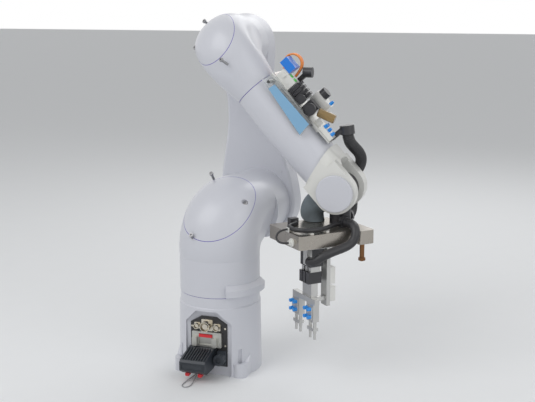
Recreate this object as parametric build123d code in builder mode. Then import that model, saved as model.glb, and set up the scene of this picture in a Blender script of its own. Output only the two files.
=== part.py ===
from build123d import *
import os
from math import copysign, cos, hypot, pi, radians, sin, sqrt, tan

# Six-axis robot arm on its pedestal, posed as it stands in use, with a valve
# package on the forearm and a picking tool under the wrist. Millimetres, +Z up.
# The origin is the centre of the base's bottom face, on the first axis. +X is the
# way that the arm reaches, +Y runs along the second axis towards the upper arm,
# and the connector panel faces -Y.

os.makedirs("parts", exist_ok=True)

# Link lengths and the pose
SHOULDER_HEIGHT = 478.0
SHOULDER_OFFSET = 50.0
UPPER_ARM_LENGTH = 500.0
FOREARM_LENGTH = 550.0
WRIST_LENGTH = 100.0
FOREARM_SIDE = 51.0
UPPER_ARM_LEAN = -6.3
FOREARM_SWING = 41.9

# Running gap between two bodies, and the groove of a seam
RUN = 0.3
SEAL = 1.4
FIT = 0.2

# Base
BASE_RADIUS_LOW = 127.0
BASE_RADIUS_HIGH = 124.5
BASE_BODY_HEIGHT = 212.0
NECK_RADIUS = 121.5
NECK_HEIGHT = 245.5
BASE_WALL = 34.0
BASE_FLOOR = 14.0
BASE_ROOF = 12.0
FOOT_HEIGHT = 42.0
FOOT_RADIUS = 22.0
FRONT_FOOT_X = 94.0
FRONT_FOOT_Y = -85.0
REAR_FOOT_X = 72.0
REAR_FOOT_Y = 92.0
FOOT_BOLT_RADIUS = 7.0
GUSSET_WIDTH = 22.0
GUSSET_TOP = 84.0
GUSSET_END = 37.0

# Connector panel and what is plugged into it
RECESS_PLANE = 96.0
RECESS_HALF_WIDTH = 73.0
RECESS_TOP = 205.0
RECESS_CORNER = 40.0
PANEL_HALF_WIDTH = 58.0
PANEL_BOTTOM = 30.0
PANEL_TOP = 183.0
PANEL_CORNER_X = 34.0
PANEL_CORNER_Z = 20.0
PANEL_THICK = 4.0
PLUG_LENGTH = 92.0
PLUG_HALF_WIDTH = 40.0
PLUG_CENTRE_X = -19.0
LEAD_DIAMETER = 3.0
LUG_X = -26.0
LUG_Z = 10.0
LUG_THICK = 5.0

# Shoulder
SHOULDER_TUBE_RADIUS = 122.5
SHOULDER_RING_RADIUS = 108.0
SHOULDER_END = 93.0
SHOULDER_CORNER = 178.0
SHOULDER_COVER_RISE = 46.0
CASTING_WALL = 9.0
INNER_CORNER = 15.0
SQUARENESS = 0.75
GASKET = 1.2
LUG_RADIUS = 138.0
LUG_START = -62.0
LUG_END = 12.0
LUG_HEIGHT = 33.0

# Cover screws, by their places in the seam's plane
COVER_SCREW_RADIUS = 4.0
SCREW_HEAD_RADIUS = 6.5
SCREW_HEAD_HEIGHT = 5.0
SCREW_LEDGE = 9.0
SCREW_DEPTH = 15.0
SCREW_POCKET_RADIUS = 7.5
SCREW_BOSS_RADIUS = 13.0
SHOULDER_SCREWS = ((-42, -118), (97, 4), (-38, 104))
ELBOW_SCREWS = ((-66, 34), (6, -110), (-6, 104))

# Upper arm
ARM_FACE = 214.0
ARM_THICK = 55.0
ARM_FOOT_RADIUS = 129.0
ARM_HEAD_RADIUS = 95.0
ARM_WAIST = 73.0
ARM_WAIST_SHARE = 0.66
ARM_DRAFT = 7.0
ARM_WALL = 10.0
ARM_COVER_THICK = 9.0
HUB_RADIUS = 107.0
HUB_WALL = 12.0
ARM_PLUGS = ((-92, 90), (92, 90), (-58, 420), (58, 420))
PLUG_RADIUS = 11.0
PLUG_SOCKET = 3.5

# Elbow
ELBOW_PIVOT_RADIUS = 92.0
ELBOW_TUBE_RADIUS = 78.0
ELBOW_REACH = 101.0
ELBOW_CORNER = 128.0
ELBOW_COVER_RISE = 30.0
ELBOW_END = 161.0
ELBOW_END_RADIUS = 67.0
J3_DRIVE_RADIUS = 62.0
J4_DRIVE_RADIUS = 46.0

# Forearm, along its axis from the elbow
FOREARM_START_RADIUS = 66.0
FOREARM_BELLY_RADIUS = 71.0
FOREARM_BELLY = 310.0
FOREARM_END = 458.0
FOREARM_END_RADIUS = 64.0
FOREARM_SPAN = 500.0
SEAM_TILT = 17.0
FORK_NEAR = -71.0
FORK_FAR = 85.0
FORK_GAP = 40.0
FORK_RADIUS = 62.0
FORK_START = 425.0
FORK_ARM_START = 477.0
FORK_ROOT = 484.0
FORK_GAP_CORNER = 18.0
FORK_HALF_HEIGHT = 67.0
FORK_CORNER = 46.0
FORK_COVER_RADIUS = 54.0
FORK_COVER_THICK = 14.0
FAR_COVER_THICK = 3.0
TRUNNION_RADIUS = 22.0
TRUNNION_LENGTH = 20.0

# Valve package above the forearm, in height over the forearm's axis
PAD_HEIGHT = 73.0
DECK_TOP = 79.0
DECK_START = 166.0
DECK_END = 427.0
DECK_HALF_WIDTH = 46.0
SHIELD_SIDE = -72.0
VALVE_COUNT = 4
VALVE_PITCH = 13.0

# Wrist and tool
WRIST_BARREL_RADIUS = 46.0
FLANGE_RADIUS = 31.5
FLANGE_THICK = 12.0
TOOL_TURN = 46.0
TOOL_LENGTH = 236.0
TOOL_STEP = 50.0
TOOL_WIDTH = 183.0
TOOL_HEIGHT = 40.0
TOOL_AXIS_U = 198.0
TOOL_AXIS_V = 106.0
TOOL_WALL = 8.0
HOSE_DIAMETER = 33.0
LOOP_DIAMETER = 26.0

# Directions and joint centres that follow from the pose
X_AXIS = Vector(1, 0, 0)
Y_AXIS = Vector(0, 1, 0)
Z_AXIS = Vector(0, 0, 1)
LEAN = radians(UPPER_ARM_LEAN)
SWING = radians(FOREARM_SWING)
ARM_UP = Vector(sin(LEAN), 0, cos(LEAN))
ARM_FORWARD = Vector(cos(LEAN), 0, -sin(LEAN))
ALONG = Vector(sin(SWING), 0, -cos(SWING))
OUTWARD = Vector(cos(SWING), 0, sin(SWING))
JOINT_2 = Vector(SHOULDER_OFFSET, 0, SHOULDER_HEIGHT)
JOINT_3 = JOINT_2 + ARM_UP * UPPER_ARM_LENGTH
FOREARM_ROOT = JOINT_3 + Y_AXIS * FOREARM_SIDE
JOINT_5 = FOREARM_ROOT + ALONG * FOREARM_LENGTH
FLANGE_Z = JOINT_5.Z - WRIST_LENGTH
TOOL_TOP = FLANGE_Z
FOREARM_AXIS = Axis(FOREARM_ROOT, ALONG)

SECTION_POINTS = 8
LOW = (Align.CENTER, Align.CENTER, Align.MIN)
BEND_ANGLES = (0, 22.5, 45, 67.5, 90)


def along_y(x, y, z):
    """Plane that looks along +Y from a point, for round pieces on the arm's side axes."""
    return Plane(origin=(x, y, z), x_dir=(1, 0, 0), z_dir=(0, 1, 0))


def facing_front(y):
    """Plane seen from the panel side: x to the right, z up, normal -Y."""
    return Plane(origin=(0, y, 0), x_dir=(1, 0, 0), z_dir=(0, -1, 0))


def beside_arm(y):
    """Plane beside the upper arm: local x forward, local y up the arm, normal -Y."""
    return Plane(origin=JOINT_2 + Y_AXIS * y, x_dir=ARM_FORWARD, z_dir=(0, -1, 0))


def across_forearm(s):
    """Plane across the forearm: local x outward, local y towards the front."""
    return Plane(origin=FOREARM_ROOT + ALONG * s, x_dir=OUTWARD, z_dir=ALONG)


def beside_forearm(side):
    """Plane beside the forearm: local x along it, local y outward, normal -Y."""
    return Plane(origin=FOREARM_ROOT + Y_AXIS * side, x_dir=ALONG, z_dir=(0, -1, 0))


def above_forearm(h):
    """Plane above the forearm: local x along it, local y towards +Y, normal outward."""
    return Plane(origin=FOREARM_ROOT + OUTWARD * h, x_dir=ALONG, z_dir=OUTWARD)


TOOL_U = Vector(cos(radians(TOOL_TURN)), sin(radians(TOOL_TURN)), 0)
TOOL_V = Vector(-TOOL_U.Y, TOOL_U.X, 0)
TOOL_CORNER = Vector(JOINT_5.X, JOINT_5.Y, 0) - TOOL_U * TOOL_AXIS_U - TOOL_V * TOOL_AXIS_V


def tool_plane(z):
    """Level plane of the tool: local x along its length, local y across it."""
    return Plane(origin=TOOL_CORNER + Vector(0, 0, z), x_dir=TOOL_U, z_dir=(0, 0, 1))


def tool_point(u, v, z):
    """A point of the tool in the row's frame."""
    return TOOL_CORNER + TOOL_U * u + TOOL_V * v + Vector(0, 0, z)


def forearm_point(s, side, h):
    """A point of the valve package in the row's frame."""
    return FOREARM_ROOT + ALONG * s + Y_AXIS * side + OUTWARD * h


def keep(piece, name):
    """Label a finished piece and write its STEP file."""
    piece.part.label = name
    export_step(piece.part, f"parts/{name}.step")


def superellipse(half_x, half_y, power):
    """Closed curve through points of a superellipse; power 2 is an ellipse."""
    points = []
    for i in range(SECTION_POINTS):
        c = cos(2 * pi * i / SECTION_POINTS)
        s = sin(2 * pi * i / SECTION_POINTS)
        x = half_x * copysign(abs(c) ** (2 / power), c)
        y = half_y * copysign(abs(s) ** (2 / power), s)
        points.append((x, y))
    return Spline(*points, periodic=True)


def round_section(plane, radius):
    """A round section drawn as a bend's end sections are, so that the two meet face to face."""
    with BuildSketch(plane) as section:
        with BuildLine():
            superellipse(radius, radius, 2)
        make_face()
    return section.sketch


def end_cap(tube, way):
    """The flat end of a bend that lies furthest one way; a straight stretch grows from it."""
    return tube.faces().filter_by(GeomType.PLANE).sort_by(Axis((0, 0, 0), way))[-1]


def outer_reach(angle, start_reach, end_reach, corner):
    """Distance from a bend's pivot to its outer wall: wall, quarter arc, wall."""
    a, b = cos(angle), sin(angle)
    if b * start_reach <= a * (end_reach - corner):
        return start_reach / a
    if a * end_reach <= b * (start_reach - corner):
        return end_reach / b
    along = a * (start_reach - corner) + b * (end_reach - corner)
    centre = hypot(start_reach - corner, end_reach - corner)
    return along + sqrt(along**2 - centre**2 + corner**2)


def bend(pivot, to_start, to_end, side, start, end, corner, shift, inset):
    """A tube that turns a right angle round a pivot, lofted through a fan of sections.

    start and end are (distance of the tube's centre from the pivot, tube radius).
    """
    with BuildPart() as tube:
        for degrees_turned in BEND_ANGLES:
            angle = radians(degrees_turned)
            share = degrees_turned / 90
            ray = to_start * cos(angle) + to_end * sin(angle)
            near = (start[0] - start[1]) * (1 - share) + (end[0] - end[1]) * share
            far = outer_reach(angle, start[0] + start[1], end[0] + end[1], corner)
            centre = pivot + ray * ((far + near) / 2) + side * (shift * share**1.5)
            half_side = start[1] + (end[1] - start[1]) * share - inset
            power = 2 + SQUARENESS * sin(2 * angle)
            with BuildSketch(Plane(origin=centre, x_dir=side, z_dir=side.cross(ray))):
                with BuildLine():
                    superellipse(half_side, (far - near) / 2 - inset, power)
                make_face()
        loft()
    return tube.part


def polar(radius, azimuth):
    """A point of a level sketch by its distance and azimuth in degrees."""
    return (radius * cos(radians(azimuth)), radius * sin(radians(azimuth)))


def level_box(plane, x0, x1, y0, y1, height):
    """A box on a plane, added to the part being built."""
    with BuildSketch(plane) as base:
        with Locations(((x0 + x1) / 2, (y0 + y1) / 2)):
            Rectangle(x1 - x0, y1 - y0)
    extrude(base.sketch, amount=height)


def forearm_box(s0, s1, side0, side1, h0, h1):
    """A box of the valve package: along the forearm, across it, above its axis."""
    level_box(above_forearm(h0), s0, s1, side0, side1, h1 - h0)


def tool_box(u0, u1, v0, v1, z0, z1):
    """A box of the tool: along it, across it, and between two heights."""
    level_box(tool_plane(z0), u0, u1, v0, v1, z1 - z0)


def seam_screws(seam, places):
    """Cap screws that hold a cover on its casting, added to the part being built."""
    for x, y in places:
        for depth, radius, length in (
            (-SCREW_DEPTH, COVER_SCREW_RADIUS, SCREW_DEPTH + GASKET + SCREW_LEDGE),
            (GASKET + SCREW_LEDGE, SCREW_HEAD_RADIUS, SCREW_HEAD_HEIGHT),
        ):
            with BuildSketch(seam.offset(depth)) as shank:
                with Locations((x, y)):
                    Circle(radius)
            extrude(shank.sketch, amount=length)
        with BuildSketch(seam.offset(GASKET + SCREW_LEDGE + SCREW_HEAD_HEIGHT)) as socket:
            with Locations((x, y)):
                RegularPolygon(3.4, 6)
        extrude(socket.sketch, amount=-3, mode=Mode.SUBTRACT)


def hose_radii(points):
    """Largest arc at each corner of a hose: 0.45 of the shorter run over the half turn's tangent."""
    radii = []
    for before, corner, after in zip(points, points[1:], points[2:]):
        first, second = corner - before, after - corner
        half_turn = radians(first.get_angle(second)) / 2
        radii.append(0.45 * min(first.length, second.length) / tan(half_turn))
    return radii


def hose(points, diameter, name):
    """A hose as straight runs joined by tangent arcs; prints its tightest arc."""
    radii = hose_radii(points)
    with BuildPart() as tube:
        with BuildLine() as path:
            FilletPolyline(*points, radius=radii)
        route = path.wires()[0]
        with BuildSketch(Plane(origin=route @ 0, z_dir=route % 0)):
            Circle(diameter / 2)
        sweep(path=route)
    expected = pi * diameter**2 / 4 * route.length
    print(f"{name}: length {route.length:.0f} mm, tightest arc {min(radii):.1f} mm,"
          f" volume over section times length {tube.part.volume / expected:.4f}")
    return tube


# Base casting: a drafted round column with a narrower neck, four feet with bolt
# holes, and a flat recess with an opening for the connector panel
with BuildPart() as base_casting:
    with BuildSketch(Plane.XZ):
        with BuildLine():
            Polyline(
                (0, 0), (BASE_RADIUS_LOW, 0), (BASE_RADIUS_HIGH, BASE_BODY_HEIGHT),
                (NECK_RADIUS, BASE_BODY_HEIGHT + 3), (NECK_RADIUS, NECK_HEIGHT),
                (0, NECK_HEIGHT), (0, 0),
            )
        make_face()
    revolve(axis=Axis.Z)
    with BuildSketch(Plane.XY):
        for side in (-1, 1):
            with Locations((side * FRONT_FOOT_X, FRONT_FOOT_Y), (side * REAR_FOOT_X, REAR_FOOT_Y)):
                Circle(FOOT_RADIUS)
            front_edge = side * (FRONT_FOOT_X + FOOT_RADIUS)
            with BuildLine():
                Polyline(
                    (side * 60, FRONT_FOOT_Y), (front_edge, FRONT_FOOT_Y),
                    (front_edge, GUSSET_END), (side * 60, GUSSET_END), (side * 60, FRONT_FOOT_Y),
                )
            make_face()
            with BuildLine():
                Polyline(
                    (side * (REAR_FOOT_X + FOOT_RADIUS), REAR_FOOT_Y),
                    (side * (REAR_FOOT_X + FOOT_RADIUS), 40), (side * 40, 40),
                    (side * 40, REAR_FOOT_Y), (side * (REAR_FOOT_X + FOOT_RADIUS), REAR_FOOT_Y),
                )
            make_face()
    extrude(amount=FOOT_HEIGHT)
    for side in (-1, 1):
        outer = side * (FRONT_FOOT_X + FOOT_RADIUS)
        with BuildSketch(Plane(origin=(outer, 0, 0), x_dir=(0, 1, 0), z_dir=(1, 0, 0))):
            with BuildLine():
                Polyline(
                    (FRONT_FOOT_Y + 12, FOOT_HEIGHT - 1), (FRONT_FOOT_Y + 52, GUSSET_TOP),
                    (GUSSET_END, GUSSET_TOP), (GUSSET_END, FOOT_HEIGHT - 1),
                    (FRONT_FOOT_Y + 12, FOOT_HEIGHT - 1),
                )
            make_face()
        extrude(amount=-side * GUSSET_WIDTH)
    with BuildSketch(facing_front(-RECESS_PLANE)):
        with BuildLine():
            Polyline(
                (-RECESS_HALF_WIDTH, -1), (RECESS_HALF_WIDTH, -1),
                (RECESS_HALF_WIDTH, RECESS_TOP - RECESS_CORNER),
                (RECESS_HALF_WIDTH - RECESS_CORNER, RECESS_TOP),
                (RECESS_CORNER - RECESS_HALF_WIDTH, RECESS_TOP),
                (-RECESS_HALF_WIDTH, RECESS_TOP - RECESS_CORNER), (-RECESS_HALF_WIDTH, -1),
            )
        make_face()
        fillet(vertices(), 12)
    extrude(amount=60, mode=Mode.SUBTRACT)
    with BuildSketch(Plane.XY.offset(BASE_FLOOR)):
        Circle(BASE_RADIUS_HIGH - BASE_WALL)
    extrude(amount=NECK_HEIGHT - BASE_FLOOR - BASE_ROOF, mode=Mode.SUBTRACT)
    with BuildSketch(facing_front(-RECESS_PLANE)):
        with Locations((0, (PANEL_BOTTOM + PANEL_TOP) / 2)):
            Rectangle(2 * PANEL_HALF_WIDTH - 30, PANEL_TOP - PANEL_BOTTOM - 30)
    extrude(amount=-30, mode=Mode.SUBTRACT)
    with BuildSketch(Plane.XY.offset(NECK_HEIGHT - BASE_ROOF - 1)):
        Circle(80.0 + FIT)
    extrude(amount=BASE_ROOF + 2, mode=Mode.SUBTRACT)
    with Locations(
        (FRONT_FOOT_X, FRONT_FOOT_Y, FOOT_HEIGHT), (-FRONT_FOOT_X, FRONT_FOOT_Y, FOOT_HEIGHT),
        (REAR_FOOT_X, REAR_FOOT_Y, FOOT_HEIGHT), (-REAR_FOOT_X, REAR_FOOT_Y, FOOT_HEIGHT),
    ):
        Hole(radius=FOOT_BOLT_RADIUS, depth=FOOT_HEIGHT)
keep(base_casting, "base_casting")

# Connector panel: a plate with two cut corners that closes the recess's opening
with BuildPart() as connector_panel:
    with BuildSketch(facing_front(-RECESS_PLANE)):
        with BuildLine():
            Polyline(
                (-PANEL_HALF_WIDTH, PANEL_BOTTOM), (PANEL_HALF_WIDTH, PANEL_BOTTOM),
                (PANEL_HALF_WIDTH, PANEL_TOP - PANEL_CORNER_Z),
                (PANEL_HALF_WIDTH - PANEL_CORNER_X, PANEL_TOP),
                (PANEL_CORNER_X - PANEL_HALF_WIDTH, PANEL_TOP),
                (-PANEL_HALF_WIDTH, PANEL_TOP - PANEL_CORNER_Z), (-PANEL_HALF_WIDTH, PANEL_BOTTOM),
            )
        make_face()
    extrude(amount=PANEL_THICK)
keep(connector_panel, "connector_panel")

PANEL_FACE = -RECESS_PLANE - PANEL_THICK

# Panel connectors: two small round ones beside a large one, each an open metal shell
# with an insert at its bottom, and the panel's screws and the earth lug below it
with BuildPart() as panel_connectors:
    for x, z, radius, length in ((-36, 153, 8.5, 15), (-5, 156, 15.5, 24), (27, 152, 9.5, 15)):
        with BuildSketch(facing_front(PANEL_FACE)):
            with Locations((x, z)):
                RectangleRounded(2.3 * radius, 2.3 * radius, 2.5)
        extrude(amount=2.5)
        with BuildSketch(facing_front(PANEL_FACE)):
            with Locations((x, z)):
                Circle(radius)
        extrude(amount=length)
        with BuildSketch(facing_front(PANEL_FACE - length)):
            with Locations((x, z)):
                Circle(radius - 2)
                Circle(radius * 0.55, mode=Mode.SUBTRACT)
        extrude(amount=-(length - 5), mode=Mode.SUBTRACT)
        with BuildSketch(facing_front(PANEL_FACE - length)):
            with Locations((x, z)):
                Circle(radius * 0.55)
        extrude(amount=-4, mode=Mode.SUBTRACT)
    with BuildSketch(facing_front(PANEL_FACE)):
        with Locations((-53, 150), (53, 150), (53, 96)):
            Circle(3.2)
    extrude(amount=2.4)
    with BuildSketch(facing_front(-RECESS_PLANE)):
        with Locations((LUG_X, LUG_Z)):
            Circle(6)
    extrude(amount=LUG_THICK)
keep(panel_connectors, "panel_connectors")

# Power module: a metal frame with a window and two clamp blocks
MODULE_LEFT, MODULE_RIGHT, MODULE_BOTTOM, MODULE_TOP = -52.0, 42.0, 89.0, 136.0
with BuildPart() as power_module:
    with BuildSketch(facing_front(PANEL_FACE)):
        with Locations(((MODULE_LEFT + MODULE_RIGHT) / 2, (MODULE_BOTTOM + MODULE_TOP) / 2)):
            RectangleRounded(MODULE_RIGHT - MODULE_LEFT, MODULE_TOP - MODULE_BOTTOM, 4)
    extrude(amount=7)
    with BuildSketch(facing_front(PANEL_FACE - 3)):
        with Locations((-8, (MODULE_BOTTOM + MODULE_TOP) / 2)):
            Rectangle(44, MODULE_TOP - MODULE_BOTTOM - 12)
    extrude(amount=10, mode=Mode.SUBTRACT)
    for x in (-41, 22):
        with BuildSketch(facing_front(PANEL_FACE - 7)):
            with Locations((x, 106)):
                RectangleRounded(15, 28, 3)
        extrude(amount=11)
keep(power_module, "power_module")

# Plug hood: the large multi-pin plug, a block with a sloped and ribbed top that
# stands out of the panel's lower part
PLUG_FRONT = PANEL_FACE - PLUG_LENGTH
with BuildPart() as cable_plugs:
    with BuildSketch(Plane.YZ.offset(PLUG_CENTRE_X)):
        with BuildLine():
            Polyline(
                (PANEL_FACE - 3, 34), (PANEL_FACE - 3, 88), (PANEL_FACE - 26, 86),
                (PLUG_FRONT + 6, 72), (PLUG_FRONT, 66), (PLUG_FRONT, 40),
                (PLUG_FRONT + 22, 26), (PANEL_FACE - 30, 26), (PANEL_FACE - 3, 34),
            )
        make_face()
    extrude(amount=PLUG_HALF_WIDTH, both=True)
    fillet(cable_plugs.edges().filter_by(Axis.Y).group_by(Axis.Z)[-1], 3)
    rib_pitch = (2 * PLUG_HALF_WIDTH - 14) / 8
    for i in range(9):
        x = PLUG_CENTRE_X - PLUG_HALF_WIDTH + 7 + rib_pitch * i
        with BuildSketch(Plane.YZ.offset(x)):
            with BuildLine():
                Polyline(
                    (PANEL_FACE - 24, 84), (PANEL_FACE - 24, 92), (PLUG_FRONT + 8, 77),
                    (PLUG_FRONT + 8, 70), (PANEL_FACE - 24, 84),
                )
            make_face()
        extrude(amount=1.5, both=True)
    with BuildSketch(facing_front(PANEL_FACE)):
        with Locations((PLUG_CENTRE_X, 59)):
            Rectangle(2 * PLUG_HALF_WIDTH + 6, 56)
    extrude(amount=4)
    with BuildSketch(facing_front(PLUG_FRONT)):
        with Locations((PLUG_CENTRE_X, 53)):
            Rectangle(2 * PLUG_HALF_WIDTH - 10, 18)
            Rectangle(2 * PLUG_HALF_WIDTH - 14, 14, mode=Mode.SUBTRACT)
    extrude(amount=1.5)
    # The round capped plug to its right
    with BuildSketch(facing_front(PANEL_FACE)):
        with Locations((42, 58)):
            RectangleRounded(28, 44, 4)
    extrude(amount=10)
    with BuildSketch(facing_front(PANEL_FACE - 10)):
        with Locations((42, 60)):
            Circle(17)
            Circle(9, mode=Mode.SUBTRACT)
    extrude(amount=24)
    with BuildSketch(facing_front(PANEL_FACE - 10)):
        with Locations((42, 60)):
            Circle(9)
    extrude(amount=20)
keep(cable_plugs, "cable_plugs")

# Plug latches: two coloured release tabs under the plug, and the coded bar across
# the module's window
with BuildPart() as plug_latches:
    with BuildSketch(facing_front(PANEL_FACE - 3)):
        with Locations((-8, 124)):
            Rectangle(42, 9)
    extrude(amount=7)
    for x in (-24, 16):
        with BuildSketch(facing_front(PLUG_FRONT + 20)):
            with Locations((PLUG_CENTRE_X + x, 21)):
                RectangleRounded(12, 10, 2)
        extrude(amount=-16)
keep(plug_latches, "plug_latches")

# Earth lead: a thin wire from the plug's underside that dips to the floor and comes
# back to the base's lug
LEAD_ROUTE = [
    Vector(-22, -150, 26), Vector(-22, -150, 18), Vector(-21.5, -156, 10), Vector(-21, -168, 5.4),
    Vector(-20, -182, 3), Vector(-19, -197, 1.9), Vector(-20, -211, 1.8), Vector(-27, -220, 1.8),
    Vector(-37, -220, 1.8), Vector(-44, -210, 1.8), Vector(-45, -195, 1.9),
    Vector(-43, -175, 2.6), Vector(-38, -155, 4.5), Vector(-32, -135, 7.4), Vector(-27, -118, 9.6),
    Vector(LUG_X, -RECESS_PLANE - LUG_THICK - 7, LUG_Z), Vector(LUG_X, -RECESS_PLANE - LUG_THICK, LUG_Z),
]
earth_lead = hose(LEAD_ROUTE, LEAD_DIAMETER, "earth_lead")
keep(earth_lead, "earth_lead")

# First drive: a reducer hung from the base's roof with its motor below
J1_BORE = 80.0
with BuildPart() as j1_drive:
    with Locations((0, 0, 172)):
        Cylinder(J1_BORE, NECK_HEIGHT + SEAL - 172, align=LOW)
    with Locations((0, 0, NECK_HEIGHT - BASE_ROOF - 13)):
        Cylinder(J1_BORE + 7, 13, align=LOW)
    with Locations((0, 0, 40)):
        Cylinder(44, 132, align=LOW)
keep(j1_drive, "j1_drive")

# First seal: the coloured ring in the seam between base and shoulder
with BuildPart() as j1_seal:
    with BuildSketch(Plane.XY.offset(NECK_HEIGHT)):
        Circle(NECK_RADIUS - 0.6)
        Circle(NECK_RADIUS - 12, mode=Mode.SUBTRACT)
    extrude(amount=SEAL)
keep(j1_seal, "j1_seal")

# Shoulder: a tube that turns from the first axis to the second one, a hollow shell
# that a slanted plane divides into casting, gasket and cover
SHOULDER_BOTTOM = NECK_HEIGHT + SEAL + RUN
BEND_BOTTOM = SHOULDER_HEIGHT - SHOULDER_RING_RADIUS - INNER_CORNER
SHOULDER_PIVOT = Vector(0, SHOULDER_TUBE_RADIUS + INNER_CORNER, BEND_BOTTOM)
COVER_NORMAL = (Z_AXIS - Y_AXIS).normalized()
SHOULDER_SEAM = Plane(
    origin=Vector(0, 0, SHOULDER_HEIGHT) + COVER_NORMAL * SHOULDER_COVER_RISE,
    x_dir=(1, 0, 0), z_dir=COVER_NORMAL,
)
SHOULDER_BORE = 74.0


def shoulder_bend(inset):
    """The shoulder's turning tube, drawn smaller by an inset."""
    return bend(
        SHOULDER_PIVOT, -Y_AXIS, Z_AXIS, X_AXIS,
        (SHOULDER_TUBE_RADIUS + INNER_CORNER, SHOULDER_TUBE_RADIUS),
        (SHOULDER_RING_RADIUS + INNER_CORNER, SHOULDER_RING_RADIUS),
        SHOULDER_CORNER, SHOULDER_OFFSET, inset,
    )


with BuildPart() as shoulder_body:
    outer_bend = shoulder_bend(0)
    add(outer_bend)
    with BuildSketch(Plane.XZ.offset(-SHOULDER_END)):
        with Locations((SHOULDER_OFFSET, SHOULDER_HEIGHT)):
            Rectangle(600, 2 * (SHOULDER_HEIGHT - BEND_BOTTOM + 1))
    extrude(amount=-200, mode=Mode.SUBTRACT)
    extrude(end_cap(outer_bend, -Z_AXIS), amount=BEND_BOTTOM - SHOULDER_BOTTOM, dir=-Z_AXIS)

with BuildPart() as shoulder_hollow:
    inner_bend = shoulder_bend(CASTING_WALL)
    add(inner_bend)
    extrude(end_cap(inner_bend, -Z_AXIS), amount=BEND_BOTTOM - SHOULDER_BOTTOM - 12, dir=-Z_AXIS)
    with BuildSketch(Plane.XZ.offset(CASTING_WALL - SHOULDER_END)):
        with Locations((SHOULDER_OFFSET, SHOULDER_HEIGHT)):
            Rectangle(600, 2 * (SHOULDER_HEIGHT - SHOULDER_BOTTOM))
    extrude(amount=-200, mode=Mode.SUBTRACT)
    # What is left standing here is a screw boss on both sides of the seam
    with BuildSketch(SHOULDER_SEAM.offset(-28)):
        with Locations(*SHOULDER_SCREWS):
            Circle(SCREW_BOSS_RADIUS)
    extrude(amount=28 + 60, mode=Mode.SUBTRACT)

with BuildPart() as shoulder_shell:
    add(shoulder_body.part)
    add(shoulder_hollow.part, mode=Mode.SUBTRACT)

with BuildPart() as shoulder_casting:
    add(shoulder_shell.part)
    split(bisect_by=SHOULDER_SEAM, keep=Keep.BOTTOM)
    with BuildSketch(Plane.XZ.offset(-SHOULDER_END - 1)):
        with Locations((SHOULDER_OFFSET, SHOULDER_HEIGHT)):
            Circle(SHOULDER_BORE + FIT)
    extrude(amount=CASTING_WALL + 4, mode=Mode.SUBTRACT)
    with BuildSketch(Plane.XY.offset(SHOULDER_BOTTOM - 1)):
        Circle(34)
    extrude(amount=16, mode=Mode.SUBTRACT)
    with BuildSketch(SHOULDER_SEAM.offset(-SCREW_DEPTH - 1)):
        with Locations(*SHOULDER_SCREWS):
            Circle(COVER_SCREW_RADIUS + FIT)
    extrude(amount=SCREW_DEPTH + 2, mode=Mode.SUBTRACT)
    # Stop lug of the first axis, a sector with a sloping top
    with BuildSketch(Plane.XY.offset(SHOULDER_BOTTOM + 4)):
        Circle(LUG_RADIUS)
        Circle(SHOULDER_TUBE_RADIUS - 6, mode=Mode.SUBTRACT)
        with BuildLine():
            Polyline((0, 0), polar(200, LUG_START), polar(300, (LUG_START + LUG_END) / 2),
                     polar(200, LUG_END), close=True)
        make_face(mode=Mode.INTERSECT)
    extrude(amount=LUG_HEIGHT)
    lug_edge = shoulder_casting.edges().filter_by(
        lambda e: e.geom_type == GeomType.CIRCLE and abs(e.radius - LUG_RADIUS) < 0.1
    ).sort_by(Axis.Z)[-1]
    chamfer(lug_edge, LUG_RADIUS - SHOULDER_TUBE_RADIUS - 2)
keep(shoulder_casting, "shoulder_casting")

with BuildPart() as shoulder_gasket:
    add(shoulder_shell.part)
    split(bisect_by=SHOULDER_SEAM, keep=Keep.TOP)
    split(bisect_by=SHOULDER_SEAM.offset(GASKET), keep=Keep.BOTTOM)
    with BuildSketch(SHOULDER_SEAM.offset(-1)):
        with Locations(*SHOULDER_SCREWS):
            Circle(COVER_SCREW_RADIUS + FIT)
    extrude(amount=GASKET + 2, mode=Mode.SUBTRACT)
keep(shoulder_gasket, "shoulder_gasket")

# Shoulder cover, with a deep pocket for each of its three screws
with BuildPart() as shoulder_cover:
    add(shoulder_shell.part)
    split(bisect_by=SHOULDER_SEAM.offset(GASKET), keep=Keep.TOP)
    with BuildSketch(SHOULDER_SEAM):
        with Locations(*SHOULDER_SCREWS):
            Circle(COVER_SCREW_RADIUS + FIT)
    extrude(amount=GASKET + SCREW_LEDGE + 1, mode=Mode.SUBTRACT)
    with BuildSketch(SHOULDER_SEAM.offset(GASKET + SCREW_LEDGE)):
        with Locations(*SHOULDER_SCREWS):
            Circle(SCREW_POCKET_RADIUS)
    extrude(amount=120, taper=-6, mode=Mode.SUBTRACT)
keep(shoulder_cover, "shoulder_cover")

with BuildPart() as shoulder_screws:
    seam_screws(SHOULDER_SEAM, SHOULDER_SCREWS)
keep(shoulder_screws, "shoulder_screws")

# Second drive: a reducer in the shoulder's side wall, with its motor behind it
with BuildPart() as j2_drive:
    with BuildSketch(along_y(SHOULDER_OFFSET, 44, SHOULDER_HEIGHT)):
        Circle(SHOULDER_BORE)
    extrude(amount=SHOULDER_END - 44)
    with BuildSketch(along_y(SHOULDER_OFFSET, SHOULDER_END - CASTING_WALL - 14, SHOULDER_HEIGHT)):
        Circle(SHOULDER_BORE + 3)
    extrude(amount=14)
    with BuildSketch(along_y(SHOULDER_OFFSET, -62, SHOULDER_HEIGHT)):
        Circle(34)
    extrude(amount=110)
keep(j2_drive, "j2_drive")

# Upper arm: a round hub on the second axis and a long plate behind it that tapers
# to a waist, hollow, with a cover at its back
HUB_START = SHOULDER_END + RUN


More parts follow.
